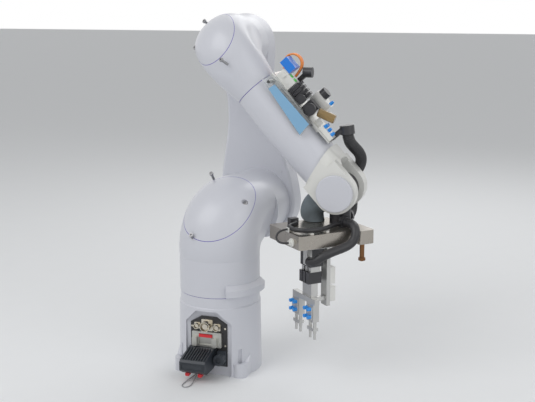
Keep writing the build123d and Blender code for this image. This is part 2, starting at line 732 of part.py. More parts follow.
def arm_outline(inset):
    """Outline of the upper arm's plate about the second and third axes."""
    foot = ARM_FOOT_RADIUS - inset
    waist = ARM_WAIST - inset
    head = ARM_HEAD_RADIUS - inset
    waist_height = ARM_WAIST_SHARE * UPPER_ARM_LENGTH
    upright = [(0, 1), (0, 1)]
    with BuildSketch(mode=Mode.PRIVATE) as outline:
        with BuildLine():
            for side in (-1, 1):
                Spline((side * foot, 0), (side * (foot + waist) / 2, waist_height / 2),
                       (side * waist, waist_height), tangents=upright)
                Spline((side * waist, waist_height),
                       (side * (head + waist) / 2, (waist_height + UPPER_ARM_LENGTH) / 2),
                       (side * head, UPPER_ARM_LENGTH), tangents=upright)
            ThreePointArc((-foot, 0), (0, -foot), (foot, 0))
            ThreePointArc((-head, UPPER_ARM_LENGTH), (0, UPPER_ARM_LENGTH + head),
                          (head, UPPER_ARM_LENGTH))
        make_face()
    return outline.sketch


with BuildPart() as upper_arm_casting:
    with BuildSketch(beside_arm(ARM_FACE + 5)):
        add(arm_outline(ARM_DRAFT))
    with BuildSketch(beside_arm(ARM_FACE + ARM_THICK)):
        add(arm_outline(0))
    loft()
    with BuildSketch(beside_arm(ARM_FACE)):
        add(arm_outline(ARM_DRAFT + 7))
    with BuildSketch(beside_arm(ARM_FACE + 5)):
        add(arm_outline(ARM_DRAFT))
    loft()
    with BuildSketch(beside_arm(HUB_START)):
        Circle(HUB_RADIUS)
    extrude(amount=HUB_START - ARM_FACE - ARM_WALL)
    with BuildSketch(beside_arm(ARM_FACE + ARM_WALL)):
        add(arm_outline(ARM_DRAFT + ARM_WALL))
    with BuildSketch(beside_arm(ARM_FACE + ARM_THICK + 0.1)):
        add(arm_outline(ARM_WALL))
    loft(mode=Mode.SUBTRACT)
    with BuildSketch(beside_arm(HUB_START + HUB_WALL)):
        Circle(HUB_RADIUS - ARM_WALL)
    extrude(amount=HUB_START + HUB_WALL - ARM_FACE - ARM_WALL - 1, mode=Mode.SUBTRACT)
    with BuildSketch(beside_arm(HUB_START - 1)):
        Circle(30)
    extrude(amount=-HUB_WALL - 2, mode=Mode.SUBTRACT)
    with BuildSketch(beside_arm(ARM_FACE - 1)):
        with Locations(*ARM_PLUGS):
            Circle(PLUG_RADIUS)
    extrude(amount=-4, mode=Mode.SUBTRACT)
keep(upper_arm_casting, "upper_arm_casting")

with BuildPart() as upper_arm_back_cover:
    with BuildSketch(beside_arm(ARM_FACE + ARM_THICK)):
        add(arm_outline(0))
    with BuildSketch(beside_arm(ARM_FACE + ARM_THICK + ARM_COVER_THICK)):
        add(arm_outline(5))
    loft()
keep(upper_arm_back_cover, "upper_arm_back_cover")

# Screw plugs in the arm plate's front face, level with the plate
with BuildPart() as upper_arm_plugs:
    with BuildSketch(beside_arm(ARM_FACE)):
        with Locations(*ARM_PLUGS):
            Circle(PLUG_RADIUS)
            Circle(PLUG_SOCKET, mode=Mode.SUBTRACT)
    extrude(amount=-3)
    with BuildSketch(beside_arm(ARM_FACE + 1.5)):
        with Locations(*ARM_PLUGS):
            Circle(PLUG_SOCKET)
    extrude(amount=-1.5)
keep(upper_arm_plugs, "upper_arm_plugs")

# Elbow: a tube that turns from the third axis to the forearm's, again divided by a
# slanted plane into casting, gasket and cover
ELBOW_PIVOT = FOREARM_ROOT + (ALONG + Y_AXIS) * ELBOW_REACH
ELBOW_NORMAL = (-Y_AXIS - ALONG).normalized()
ELBOW_SEAM = Plane(
    origin=FOREARM_ROOT + ELBOW_NORMAL * ELBOW_COVER_RISE, x_dir=OUTWARD, z_dir=ELBOW_NORMAL
)
ELBOW_WALL_Y = ARM_FACE - RUN


def elbow_bend(inset):
    """The elbow's turning tube, drawn smaller by an inset."""
    return bend(
        ELBOW_PIVOT, -Y_AXIS, -ALONG, OUTWARD, (ELBOW_REACH, ELBOW_TUBE_RADIUS),
        (ELBOW_REACH, ELBOW_PIVOT_RADIUS), ELBOW_CORNER, 0, inset,
    )


with BuildPart() as elbow_body:
    outer_elbow = elbow_bend(0)
    add(outer_elbow)
    loft(sections=[
        end_cap(outer_elbow, ALONG),
        round_section(across_forearm(ELBOW_END), ELBOW_END_RADIUS),
    ])
    extrude(end_cap(outer_elbow, Y_AXIS), amount=ELBOW_WALL_Y - ELBOW_PIVOT.Y, dir=Y_AXIS)

with BuildPart() as elbow_hollow:
    inner_elbow = elbow_bend(CASTING_WALL)
    add(inner_elbow)
    loft(sections=[
        end_cap(inner_elbow, ALONG),
        round_section(across_forearm(ELBOW_END - 12), ELBOW_END_RADIUS - CASTING_WALL),
    ])
    extrude(end_cap(inner_elbow, Y_AXIS), amount=ELBOW_WALL_Y - 12 - ELBOW_PIVOT.Y, dir=Y_AXIS)
    # The screw bosses of this seam are left standing in the same way
    with BuildSketch(ELBOW_SEAM.offset(-20)):
        with Locations(*ELBOW_SCREWS):
            Circle(SCREW_BOSS_RADIUS)
    extrude(amount=20 + 50, mode=Mode.SUBTRACT)

with BuildPart() as elbow_shell:
    add(elbow_body.part)
    add(elbow_hollow.part, mode=Mode.SUBTRACT)

with BuildPart() as elbow_casting:
    add(elbow_shell.part)
    split(bisect_by=ELBOW_SEAM, keep=Keep.BOTTOM)
    with BuildSketch(along_y(JOINT_3.X, ELBOW_WALL_Y - 14, JOINT_3.Z)):
        Circle(J3_DRIVE_RADIUS + FIT)
    extrude(amount=15, mode=Mode.SUBTRACT)
    with BuildSketch(across_forearm(ELBOW_END - 14)):
        Circle(J4_DRIVE_RADIUS + FIT)
    extrude(amount=15, mode=Mode.SUBTRACT)
    with BuildSketch(ELBOW_SEAM.offset(-SCREW_DEPTH - 1)):
        with Locations(*ELBOW_SCREWS):
            Circle(COVER_SCREW_RADIUS + FIT)
    extrude(amount=SCREW_DEPTH + 2, mode=Mode.SUBTRACT)
keep(elbow_casting, "elbow_casting")

with BuildPart() as elbow_gasket:
    add(elbow_shell.part)
    split(bisect_by=ELBOW_SEAM, keep=Keep.TOP)
    split(bisect_by=ELBOW_SEAM.offset(GASKET), keep=Keep.BOTTOM)
    with BuildSketch(ELBOW_SEAM.offset(-1)):
        with Locations(*ELBOW_SCREWS):
            Circle(COVER_SCREW_RADIUS + FIT)
    extrude(amount=GASKET + 2, mode=Mode.SUBTRACT)
keep(elbow_gasket, "elbow_gasket")

with BuildPart() as elbow_cover:
    add(elbow_shell.part)
    split(bisect_by=ELBOW_SEAM.offset(GASKET), keep=Keep.TOP)
    with BuildSketch(ELBOW_SEAM):
        with Locations(*ELBOW_SCREWS):
            Circle(COVER_SCREW_RADIUS + FIT)
    extrude(amount=GASKET + SCREW_LEDGE + 1, mode=Mode.SUBTRACT)
    with BuildSketch(ELBOW_SEAM.offset(GASKET + SCREW_LEDGE)):
        with Locations(*ELBOW_SCREWS):
            Circle(SCREW_POCKET_RADIUS)
    extrude(amount=100, taper=-6, mode=Mode.SUBTRACT)
keep(elbow_cover, "elbow_cover")

with BuildPart() as elbow_screws:
    seam_screws(ELBOW_SEAM, ELBOW_SCREWS)
keep(elbow_screws, "elbow_screws")

# Third drive: a reducer in the elbow's end wall, with its motor inside the elbow
with BuildPart() as j3_drive:
    with BuildSketch(along_y(JOINT_3.X, ELBOW_WALL_Y - 58, JOINT_3.Z)):
        Circle(J3_DRIVE_RADIUS)
    extrude(amount=58)
    with BuildSketch(along_y(JOINT_3.X, ELBOW_WALL_Y - 24, JOINT_3.Z)):
        Circle(J3_DRIVE_RADIUS + 8)
    extrude(amount=12)
    with BuildSketch(along_y(JOINT_3.X, FOREARM_SIDE + 8, JOINT_3.Z)):
        Circle(34)
    extrude(amount=ELBOW_WALL_Y - 50 - FOREARM_SIDE - 8)
keep(j3_drive, "j3_drive")

# Fourth drive: a reducer at the forearm's root, with its motor behind it
with BuildPart() as j4_drive:
    with BuildSketch(across_forearm(ELBOW_END - 34)):
        Circle(J4_DRIVE_RADIUS)
    extrude(amount=34 + SEAL)
    with BuildSketch(across_forearm(ELBOW_END - 20)):
        Circle(J4_DRIVE_RADIUS + 5)
    extrude(amount=8)
    with BuildSketch(across_forearm(44)):
        Circle(28)
    extrude(amount=ELBOW_END - 34 - 44)
keep(j4_drive, "j4_drive")

with BuildPart() as j4_seal:
    with BuildSketch(across_forearm(ELBOW_END)):
        Circle(ELBOW_END_RADIUS - 0.6)
        Circle(J4_DRIVE_RADIUS + FIT, mode=Mode.SUBTRACT)
    extrude(amount=SEAL)
keep(j4_seal, "j4_seal")

# Forearm casting: a hollow round tube with a belly, cut off on a slant at its end
FOREARM_START = ELBOW_END + SEAL + RUN
FOREARM_SEAM = Plane(
    origin=FOREARM_ROOT + ALONG * FOREARM_END,
    x_dir=Y_AXIS, z_dir=ALONG * cos(radians(SEAM_TILT)) + OUTWARD * sin(radians(SEAM_TILT)),
)


def forearm_profile(inset, start):
    """Side of the forearm from its axis outward, drawn smaller by an inset."""
    with BuildSketch(beside_forearm(0), mode=Mode.PRIVATE) as profile:
        with BuildLine():
            Spline(
                (start, FOREARM_START_RADIUS - inset), (FOREARM_BELLY, FOREARM_BELLY_RADIUS - inset),
                (FOREARM_SPAN, FOREARM_END_RADIUS - inset),
            )
            Polyline(
                (FOREARM_SPAN, FOREARM_END_RADIUS - inset), (FOREARM_SPAN, 0), (start, 0),
                (start, FOREARM_START_RADIUS - inset),
            )
        make_face()
    return profile.sketch


with BuildPart() as forearm_tube:
    revolve(forearm_profile(0, FOREARM_START), axis=FOREARM_AXIS)

with BuildPart() as forearm_casting:
    add(forearm_tube.part)
    split(bisect_by=FOREARM_SEAM, keep=Keep.BOTTOM)
    revolve(forearm_profile(CASTING_WALL, FOREARM_START + 10), axis=FOREARM_AXIS, mode=Mode.SUBTRACT)
    with BuildSketch(across_forearm(FOREARM_START - 1)):
        Circle(24)
    extrude(amount=12, mode=Mode.SUBTRACT)
keep(forearm_casting, "forearm_casting")

# Wrist fork: a block at the forearm's end with two arms that hold the wrist
with BuildPart() as wrist_fork:
    with BuildSketch(across_forearm(FORK_START)):
        with Locations((0, -(FORK_NEAR + FORK_FAR) / 2)):
            RectangleRounded(2 * FORK_HALF_HEIGHT, FORK_FAR - FORK_NEAR, FORK_CORNER)
    extrude(amount=FORK_ARM_START + 20 - FORK_START)
    split(bisect_by=FOREARM_SEAM, keep=Keep.TOP)
    for inner, outer in ((-FORK_GAP, FORK_NEAR), (FORK_GAP, FORK_FAR)):
        with BuildSketch(beside_forearm(inner)):
            with Locations((FOREARM_LENGTH, 0)):
                Circle(FORK_RADIUS)
            with Locations(((FORK_ARM_START + FOREARM_LENGTH) / 2, 0)):
                Rectangle(FOREARM_LENGTH - FORK_ARM_START, 2 * FORK_RADIUS)
        extrude(amount=inner - outer)
    # The gap between the arms, round-cornered at its root
    with BuildSketch(above_forearm(-FORK_RADIUS - 20)):
        with Locations((FORK_ROOT + 100, 0)):
            RectangleRounded(200, 2 * FORK_GAP, FORK_GAP_CORNER)
    extrude(amount=2 * FORK_RADIUS + 40, mode=Mode.SUBTRACT)
    # Bearing bores for the wrist's trunnions
    with BuildSketch(along_y(JOINT_5.X, FOREARM_SIDE - FORK_GAP - TRUNNION_LENGTH, JOINT_5.Z)):
        Circle(TRUNNION_RADIUS + RUN / 4)
    extrude(amount=2 * (FORK_GAP + TRUNNION_LENGTH), mode=Mode.SUBTRACT)
    # Cable way from the forearm's hollow into the gap
    with BuildSketch(across_forearm(FORK_START - 30)):
        Circle(30)
    extrude(amount=FORK_ROOT - FORK_START + 31, mode=Mode.SUBTRACT)
keep(wrist_fork, "wrist_fork")

# Fork covers: a round cap outside each arm
with BuildPart() as fork_covers:
    for start, way in ((FORK_NEAR, 1), (FORK_FAR, -1)):
        with BuildSketch(beside_forearm(start)):
            with Locations((FOREARM_LENGTH, 0)):
                Circle(FORK_COVER_RADIUS)
        extrude(amount=way * (FORK_COVER_THICK if way > 0 else FAR_COVER_THICK))
    fillet(fork_covers.edges().group_by(Axis.Y)[0], 3)
keep(fork_covers, "fork_covers")

# Wrist drives: two slim motors side by side inside the forearm
with BuildPart() as wrist_drives:
    for side in (-26, 26):
        with BuildSketch(across_forearm(FOREARM_START + 60)):
            with Locations((0, side)):
                Circle(22)
        extrude(amount=140)
    with BuildSketch(across_forearm(FOREARM_START + 200)):
        Circle(FOREARM_BELLY_RADIUS - CASTING_WALL - 1.5)
    extrude(amount=8)
keep(wrist_drives, "wrist_drives")

# Valve package: its deck stands above the forearm on two saddles
FILTER_RADIUS = 13.5
FILTER_PLANE = Plane(origin=forearm_point(338, -29, 106), z_dir=ALONG * 0.9 + OUTWARD * 0.436)
with BuildPart() as valve_deck:
    forearm_box(DECK_START, DECK_END, -DECK_HALF_WIDTH, DECK_HALF_WIDTH, PAD_HEIGHT, DECK_TOP)
    for s in (DECK_START + 36, DECK_END - 58):
        forearm_box(s - 12, s + 12, -30, 30, PAD_HEIGHT - 32, PAD_HEIGHT)
    # Two standoffs that carry the shield, and the cradle of the filter
    for s, h in ((182, 62), (340, 54)):
        with BuildSketch(beside_forearm(SHIELD_SIDE)):
            with Locations((s, h)):
                Circle(5)
        extrude(amount=SHIELD_SIDE + 8)
    forearm_box(352, 372, -34, -24, DECK_TOP, 98)
    add(forearm_tube.part, mode=Mode.SUBTRACT)
    with BuildSketch(FILTER_PLANE):
        Circle(FILTER_RADIUS + FIT)
    extrude(amount=70, mode=Mode.SUBTRACT)
keep(valve_deck, "valve_deck")

# Side shield of the package: a clear plate on two standoffs, and a coloured plate
with BuildPart() as side_shield:
    with BuildSketch(beside_forearm(SHIELD_SIDE)):
        with BuildLine():
            Polyline((163, 53), (172, 92), (352, 81), (360, 31), close=True)
        make_face()
    extrude(amount=3)
keep(side_shield, "side_shield")

with BuildPart() as blue_plate:
    with BuildSketch(beside_forearm(SHIELD_SIDE - 3)):
        with BuildLine():
            Polyline((197, 50), (200, 72), (351, 75), (356, 34), close=True)
        make_face()
    extrude(amount=3)
keep(blue_plate, "blue_plate")

COIL_BOTTOM = 115.2
# Manifold blocks with two coloured rings, the row of valves beside it, end blocks
with BuildPart() as manifold_blocks:
    forearm_box(178, 232, -38, 4, DECK_TOP, 112)
    forearm_box(186, 198, -42, -38, 92, 106)
    forearm_box(180, 198, -36, 0, 112, COIL_BOTTOM)
    forearm_box(376, 424, -42, -8, DECK_TOP, 93)
keep(manifold_blocks, "manifold_blocks")

with BuildPart() as green_rings:
    for s in (208, 224):
        with BuildSketch(above_forearm(112)):
            with Locations((s, -26)):
                Circle(6)
                Circle(3, mode=Mode.SUBTRACT)
        extrude(amount=3)
keep(green_rings, "green_rings")

with BuildPart() as valve_stack:
    for i in range(VALVE_COUNT):
        start = 236 + VALVE_PITCH * i
        forearm_box(start, start + VALVE_PITCH - 1.5, -40, 2, DECK_TOP, 116)
        forearm_box(start + 2, start + VALVE_PITCH - 3.5, -34, -14, 116, 126)
keep(valve_stack, "valve_stack")

with BuildPart() as coil_block:
    forearm_box(158, 200, -40, 6, COIL_BOTTOM, 141)
keep(coil_block, "coil_block")

with BuildPart() as orange_tubes:
    for i in range(3):
        side = 12 + 8 * i
        route = [
            forearm_point(176, side, DECK_TOP), forearm_point(176, side, DECK_TOP + 12),
            forearm_point(168, side - 1, 104), forearm_point(157, side - 2, 116),
            forearm_point(151, side - 3, 127),
            forearm_point(151, side - 4, 138), forearm_point(158, side - 3, 150),
            forearm_point(171, side - 1, 156), forearm_point(186, side + 1, 155),
            forearm_point(199, side + 2, 146), forearm_point(206, side + 2, 130),
            forearm_point(210, side + 1, 112), forearm_point(212, side, 95),
            forearm_point(212, side, DECK_TOP),
        ]
        tube = hose(route, 5.5, f"orange_tube_{i}")
        add(tube.part)
keep(orange_tubes, "orange_tubes")

with BuildPart() as regulator_body:
    forearm_box(300, 330, 4, 32, DECK_TOP, 104)
    forearm_box(288, 348, 0, 38, 104, 136)
keep(regulator_body, "regulator_body")

with BuildPart() as regulator_knob:
    with BuildSketch(above_forearm(136 + RUN)):
        with Locations((306, 19)):
            Circle(16)
    extrude(amount=17)
    with BuildSketch(above_forearm(136 + RUN)):
        with Locations((306, 19)):
            with PolarLocations(16, 12):
                Circle(1.6)
    extrude(amount=15, mode=Mode.SUBTRACT)
keep(regulator_knob, "regulator_knob")

# Gauges: two round dials at the front, and the black cylinder above them
with BuildPart() as pressure_gauges:
    for s, h, radius in ((279, 98, 14), (318, 98, 18.5)):
        with BuildSketch(beside_forearm(-40)):
            with Locations((s, h)):
                Circle(5)
        extrude(amount=8)
        with BuildSketch(beside_forearm(-47)):
            with Locations((s, h)):
                Circle(radius)
        extrude(amount=12)
        with BuildSketch(beside_forearm(-59)):
            with Locations((s, h)):
                Circle(radius - 2.5)
        extrude(amount=-2, mode=Mode.SUBTRACT)
    forearm_box(296, 332, -40, -14, DECK_TOP, 116)
    forearm_box(218, 232, 22, 36, DECK_TOP, 130)
    with BuildSketch(Plane(origin=forearm_point(225, 29, 143) - X_AXIS * 13, z_dir=X_AXIS)):
        Circle(15.5)
    extrude(amount=27)
keep(pressure_gauges, "pressure_gauges")

with BuildPart() as vacuum_filter:
    with BuildSketch(FILTER_PLANE):
        Circle(FILTER_RADIUS)
    extrude(amount=54)
    fillet(vacuum_filter.edges().filter_by(GeomType.CIRCLE), 4)
keep(vacuum_filter, "vacuum_filter")

with BuildPart() as push_fittings:
    for s, side, h in ((384, -34, 93), (399, -28, 93), (414, -34, 93), (384, -16, 93), (340, 19, 136)):
        with BuildSketch(above_forearm(h)):
            with Locations((s, side)):
                Circle(5.2)
        extrude(amount=8)
        with BuildSketch(above_forearm(h + 8)):
            with Locations((s, side)):
                Circle(4)
        extrude(amount=4)
keep(push_fittings, "push_fittings")

# Hose clamp: a split ring on a bracket at the deck's end, round the hose's end
HOSE_END = Vector(374, 112, 477)
CLAMP_POINT = forearm_point(430, 9, 128)
CLAMP_WAY = (ALONG * 0.82 - OUTWARD * 0.57).normalized()
with BuildPart() as hose_clamp:
    forearm_box(DECK_END - 14, DECK_END, -8, 26, DECK_TOP, 118)
    with BuildSketch(Plane(origin=CLAMP_POINT - CLAMP_WAY * 14, z_dir=CLAMP_WAY)):
        Circle(HOSE_DIAMETER / 2 + 5)
    extrude(amount=26)
    with BuildSketch(Plane(origin=CLAMP_POINT, z_dir=CLAMP_WAY)):
        Circle(HOSE_DIAMETER / 2 + FIT)
    extrude(amount=20, mode=Mode.SUBTRACT)
keep(hose_clamp, "hose_clamp")

DRESS_ROUTE = [
    CLAMP_POINT, CLAMP_POINT + CLAMP_WAY * 30, forearm_point(478, 36, 103),
    forearm_point(499, 66, 97), forearm_point(517, 93, 84), forearm_point(532, 108, 62),
    Vector(379, 160, 592), Vector(375, 161, 558), Vector(374, 161, 530), Vector(374, 160, 506),
    Vector(374, 151, 487), Vector(374, 133, HOSE_END.Z), HOSE_END,
]
dress_hose = hose(DRESS_ROUTE, HOSE_DIAMETER, "dress_hose")
keep(dress_hose, "dress_hose")

# Wrist: a barrel between the fork's arms on two trunnions, with the neck below
NECK_LOW = FLANGE_Z + FLANGE_THICK + RUN
with BuildPart() as wrist_body:
    with BuildSketch(along_y(JOINT_5.X, FOREARM_SIDE - FORK_GAP + RUN, JOINT_5.Z)):
        Circle(WRIST_BARREL_RADIUS)
    extrude(amount=2 * (FORK_GAP - RUN))
    with BuildSketch(along_y(JOINT_5.X, FOREARM_SIDE - FORK_GAP - TRUNNION_LENGTH + RUN, JOINT_5.Z)):
        Circle(TRUNNION_RADIUS)
    extrude(amount=2 * (FORK_GAP + TRUNNION_LENGTH - RUN))
    with BuildSketch(Plane(origin=(JOINT_5.X, JOINT_5.Y, NECK_LOW))):
        Circle(FLANGE_RADIUS)
    extrude(amount=JOINT_5.Z - NECK_LOW)
keep(wrist_body, "wrist_body")

with BuildPart() as wrist_sleeve:
    for x, z, radius, way in (
        (283, TOOL_TOP + 1.5, 31, (0, 0, 1)), (276, 489, 35, (0.1, 0, 1)),
        (286, 516, 36, (0.6, 0, 0.8)), (312.5, 530.5, 32, (0.82, 0, 0.57)),
    ):
        with BuildSketch(Plane(origin=(x, FOREARM_SIDE, z), x_dir=Y_AXIS, z_dir=way)):
            Circle(radius)
    loft()
keep(wrist_sleeve, "wrist_sleeve")

# Tool flange, and the tool's frame: a plate with walls round its edge
with BuildPart() as tool_flange:
    with BuildSketch(Plane(origin=(JOINT_5.X, JOINT_5.Y, TOOL_TOP))):
        Circle(FLANGE_RADIUS)
    extrude(amount=NECK_LOW - RUN - TOOL_TOP)
keep(tool_flange, "tool_flange")

FRAME_OUTLINE = (
    (0, 0), (TOOL_LENGTH - TOOL_STEP, 0), (TOOL_LENGTH - TOOL_STEP, -20), (TOOL_LENGTH, -20),
    (TOOL_LENGTH, TOOL_WIDTH - 93), (200, TOOL_WIDTH - 53), (200, TOOL_WIDTH), (0, TOOL_WIDTH),
)
with BuildPart() as tool_frame:
    with BuildSketch(tool_plane(TOOL_TOP - TOOL_HEIGHT)):
        with BuildLine():
            Polyline(*FRAME_OUTLINE, close=True)
        make_face()
    extrude(amount=TOOL_HEIGHT)
    fillet(tool_frame.edges().filter_by(Axis.Z), 8)
    with BuildSketch(tool_plane(TOOL_TOP - TOOL_HEIGHT)):
        with BuildLine():
            Polyline(*FRAME_OUTLINE, close=True)
        make_face()
        offset(amount=-TOOL_WALL)
    extrude(amount=TOOL_HEIGHT - 12, mode=Mode.SUBTRACT)
keep(tool_frame, "tool_frame")

with BuildPart() as dock_pin:
    with BuildSketch(tool_plane(TOOL_TOP - 12)):
        with Locations((211, 6)):
            Circle(7)
    extrude(amount=-84)
    with BuildSketch(tool_plane(372)):
        with Locations((211, 6)):
            Circle(10.5)
    extrude(amount=8)
    fillet(dock_pin.edges().filter_by(GeomType.CIRCLE).group_by(Axis.Z)[0], 2)
keep(dock_pin, "dock_pin")

# Hose fittings: the socket that ends the dress hose, on a foot at the frame's rear
# edge, the gland of the loop hose and the cable port
with BuildPart() as hose_fittings:
    with BuildSketch(Plane.XY.offset(TOOL_TOP)):
        with BuildLine():
            Polyline((352, 94), (392, 70), (392, 112), (356, 112), close=True)
        make_face()
    extrude(amount=6)
    with BuildSketch(along_y(HOSE_END.X, HOSE_END.Y - 16, HOSE_END.Z)):
        Circle(HOSE_DIAMETER / 2 + 0.5)
    extrude(amount=16)
    tool_box(164, 192, 42, 62, TOOL_TOP, TOOL_TOP + 30)
    tool_box(44, 70, 130, 150, TOOL_TOP, TOOL_TOP + 22)
keep(hose_fittings, "hose_fittings")

# Loop hose: from its gland on the frame's top, over the front edge, to the gripper
LOOP_ROUTE = [
    tool_point(*p) for p in (
        (178, 42, 480.5), (178, 24, 480.5), (177, 5, 482), (174, -13, 475), (170, -22, 459),
        (163, -23, 442), (148, -22, 430), (126, -21, 423), (102, -20, 418), (78, -18, 411),
        (60, -12, 401), (50, -3, 391), (46, 9, 384), (46, 28, 384),
    )
]
loop_hose = hose(LOOP_ROUTE, LOOP_DIAMETER, "loop_hose")
keep(loop_hose, "loop_hose")

TOP_ROUTE = [
    tool_point(*p) for p in (
        (164, 52, 476), (147, 52, 476), (126, 40, 476), (100, 24, 476), (72, 16, 476),
        (46, 17, 476), (24, 28, 476), (12, 48, 476), (9, 70, 476), (16, 92, 476),
        (34, 105, 476), (57, 112, 476), (57, 130, 476),
    )
]
top_cable = hose(TOP_ROUTE, 13, "top_cable")
keep(top_cable, "top_cable")

# Tool sensors: a round one in the frame's left wall, and the head beside the gripper
with BuildPart() as tool_sensors:
    with BuildSketch(Plane(origin=tool_point(0, 44, 441), z_dir=-TOOL_U)):
        Circle(12)
    extrude(amount=4)
    with BuildSketch(Plane(origin=tool_point(-4, 44, 441), z_dir=-TOOL_U)):
        Circle(7)
    extrude(amount=8)
    tool_box(128, 146, 46, 74, 300, 350)
    tool_box(128, 150, 50, 72, 246, 290)
keep(tool_sensors, "tool_sensors")

SENSOR_ROUTE = [
    tool_point(*p) for p in (
        (-1, 70, 474), (-11, 70, 474), (-22, 75, 470), (-31, 77, 462), (-36, 73, 453),
        (-37, 64, 446), (-33, 53, 442), (-23, 44, 441), (-12, 44, 441),
    )
]
sensor_cable = hose(SENSOR_ROUTE, 6, "sensor_cable")
keep(sensor_cable, "sensor_cable")

# White ties: a saddle under the cable at each, and the block that the thin cable leaves
with BuildPart() as cable_ties:
    for u, v in ((98, 20), (46, 17), (16, 92)):
        tool_box(u - 4, u + 4, v - 9, v + 9, TOOL_TOP, TOOL_TOP + 3.8)
    tool_box(-1, 2.2, 64, 76, TOOL_TOP, TOOL_TOP + 13)
keep(cable_ties, "cable_ties")

# Gripper: bracket under the frame, valve cluster, crossbar and two pickers
VALVE_ROWS = (52, 71, 90)
PICKERS = (("left_picker", 133.0), ("right_picker", 51.0))
ROD_STEPS = (-12.5, 12.5)
ROD_RADIUS = 5.0
with BuildPart() as gripper_bracket:
    tool_box(40, 132, 28, 120, TOOL_TOP - TOOL_HEIGHT - 10, TOOL_TOP - TOOL_HEIGHT)
    tool_box(116, 128, 44, 76, 236, TOOL_TOP - TOOL_HEIGHT - 10)
    tool_box(40, 56, 28, 50, 372, TOOL_TOP - TOOL_HEIGHT - 10)
    tool_box(64, 80, 24, 152, 250, 266)
    tool_box(80, 116, 52, 68, 252, 264)
    for v in VALVE_ROWS:
        tool_box(68, 100, v + 2, v + 15, 340, 356)
    tool_box(70, 92, 54, 104, 266, 306)
keep(gripper_bracket, "gripper_bracket")

with BuildPart() as gripper_valves:
    for v in VALVE_ROWS:
        tool_box(64, 108, v, v + 17, 356, TOOL_TOP - TOOL_HEIGHT - 10)
        tool_box(60, 104, v + 1, v + 16, 306, 340)
keep(gripper_valves, "gripper_valves")

for name, centre in PICKERS:
    with BuildPart() as picker_rods:
        with BuildSketch(tool_plane(160)):
            for step in ROD_STEPS:
                with Locations((74, centre + step)):
                    Circle(ROD_RADIUS)
        extrude(amount=66)
        tool_box(66, 82, centre - 18, centre + 18, 168, 178)
        for step in ROD_STEPS:
            with BuildSketch(tool_plane(142)):
                with Locations((74, centre + step)):
                    Circle(4)
            extrude(amount=18)
    keep(picker_rods, name)

with BuildPart() as picker_bodies:
    for name, centre in PICKERS:
        tool_box(64, 84, centre - 19, centre + 19, 196, 250)
        tool_box(60, 64, centre - 16, centre + 16, 204, 242)
        with BuildSketch(tool_plane(190)):
            for step in ROD_STEPS:
                with Locations((74, centre + step)):
                    Circle(ROD_RADIUS + RUN / 4)
        extrude(amount=50, mode=Mode.SUBTRACT)
keep(picker_bodies, "picker_bodies")

with BuildPart() as picker_fittings:
    for name, centre in PICKERS:
        for step in (-10, 10):
            for z in (236, 212):
                with BuildSketch(Plane(origin=tool_point(60, centre + step, z), z_dir=-TOOL_U)):
                    Circle(5.5)
                extrude(amount=11)
keep(picker_fittings, "picker_fittings")
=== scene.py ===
from math import cos, radians, sin

import bpy
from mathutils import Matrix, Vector


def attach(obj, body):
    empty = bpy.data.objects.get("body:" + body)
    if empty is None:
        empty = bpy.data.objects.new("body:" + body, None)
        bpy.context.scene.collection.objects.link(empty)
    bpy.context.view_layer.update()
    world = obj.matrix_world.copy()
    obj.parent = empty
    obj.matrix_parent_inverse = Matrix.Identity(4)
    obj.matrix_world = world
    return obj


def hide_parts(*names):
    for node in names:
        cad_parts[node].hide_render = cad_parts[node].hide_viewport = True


bl_info = {
    "name": "Six-axis robot arm",
    "version": (1, 0, 0),
    "blender": (4, 5, 0),
    "location": "View3D > Sidebar > Robot arm",
    "description": "Finishes, hoses and stage of a six-axis robot arm",
    "category": "Object",
}

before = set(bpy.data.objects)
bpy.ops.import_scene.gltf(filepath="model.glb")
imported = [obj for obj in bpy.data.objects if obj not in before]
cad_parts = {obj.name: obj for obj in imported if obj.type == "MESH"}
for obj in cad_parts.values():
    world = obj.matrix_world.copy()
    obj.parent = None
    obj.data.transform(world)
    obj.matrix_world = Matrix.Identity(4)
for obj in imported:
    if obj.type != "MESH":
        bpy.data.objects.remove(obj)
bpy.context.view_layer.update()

# Pose and routes, in metres, as in the part's source
SHOULDER = Vector((0.050, 0.0, 0.478))
UPPER_ARM_LENGTH = 0.500
FOREARM_LENGTH = 0.550
FOREARM_SIDE = 0.051
WRIST_LENGTH = 0.100
LEAN = radians(-6.3)
SWING = radians(41.9)
TURN = radians(46.0)
ALONG = Vector((sin(SWING), 0, -cos(SWING)))
OUTWARD = Vector((cos(SWING), 0, sin(SWING)))
SIDEWAYS = Vector((0, 1, 0))
ELBOW = SHOULDER + Vector((sin(LEAN), 0, cos(LEAN))) * UPPER_ARM_LENGTH
FOREARM_ROOT = ELBOW + SIDEWAYS * FOREARM_SIDE
WRIST = FOREARM_ROOT + ALONG * FOREARM_LENGTH
TOOL_U = Vector((cos(TURN), sin(TURN), 0))
TOOL_V = Vector((-sin(TURN), cos(TURN), 0))
TOOL_CORNER = Vector((WRIST.x, WRIST.y, 0)) - TOOL_U * 0.198 - TOOL_V * 0.106
DECK_TOP = 0.079
CLAMP_WAY = (ALONG * 0.82 - OUTWARD * 0.57).normalized()


def forearm_point(along, side, height):
    """A point of the valve package, from millimetres in the forearm's own directions."""
    return (FOREARM_ROOT + ALONG * (along / 1000) + SIDEWAYS * (side / 1000)
            + OUTWARD * (height / 1000))


def tool_point(u, v, z):
    """A point of the tool, from millimetres along it, across it and above the floor."""
    return TOOL_CORNER + TOOL_U * (u / 1000) + TOOL_V * (v / 1000) + Vector((0, 0, z / 1000))


def row_point(x, y, z):
    """A point in the row's frame, from millimetres."""
    return Vector((x, y, z)) / 1000


